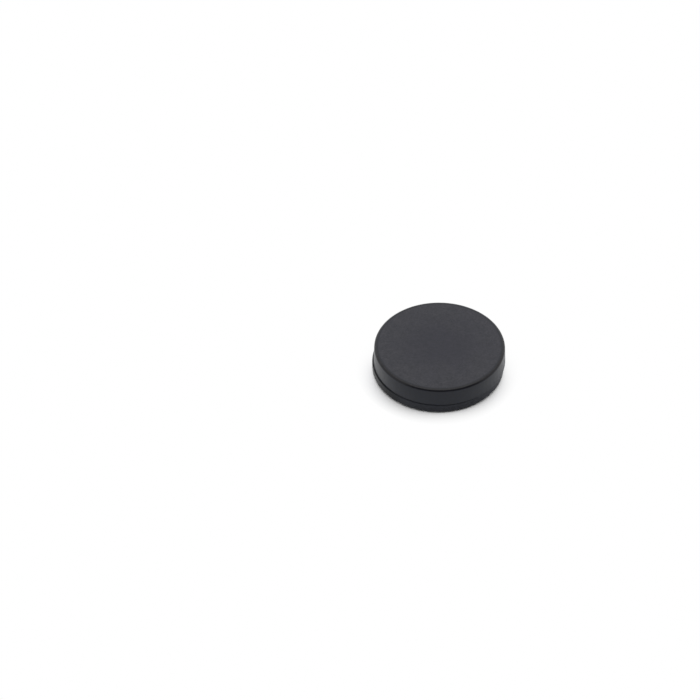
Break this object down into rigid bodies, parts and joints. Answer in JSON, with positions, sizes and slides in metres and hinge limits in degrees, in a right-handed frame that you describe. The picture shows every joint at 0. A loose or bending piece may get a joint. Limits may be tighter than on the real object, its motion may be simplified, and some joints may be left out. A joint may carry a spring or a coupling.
{
  "type": "disc magnet",
  "caption": "Flat round magnet sealed in a matte black moulded casing, with plain flat faces, softly rounded edges and a fine seam round its side.",
  "frame": {"origin": "centre of the lid's flat face, which the disc lies on, on the axis of the cup and the core", "axes": "+Z along the disc's axis, from the lid's face to the cup's face; -X towards the side where the lid stands proud of the cup (the step is 18 degrees from -X, towards +Y)"},
  "size_m": [0.0222, 0.0221, 0.0052],
  "materials": {
    "casing_plastic": "fine satin mould grain",
    "core_plating": "satin nickel plate"
  },
  "bodies": {
    "root": {"casing_cup": "casing_plastic", "casing_lid": "casing_plastic", "magnet_core": "core_plating"}
  },
  "joints": []
}
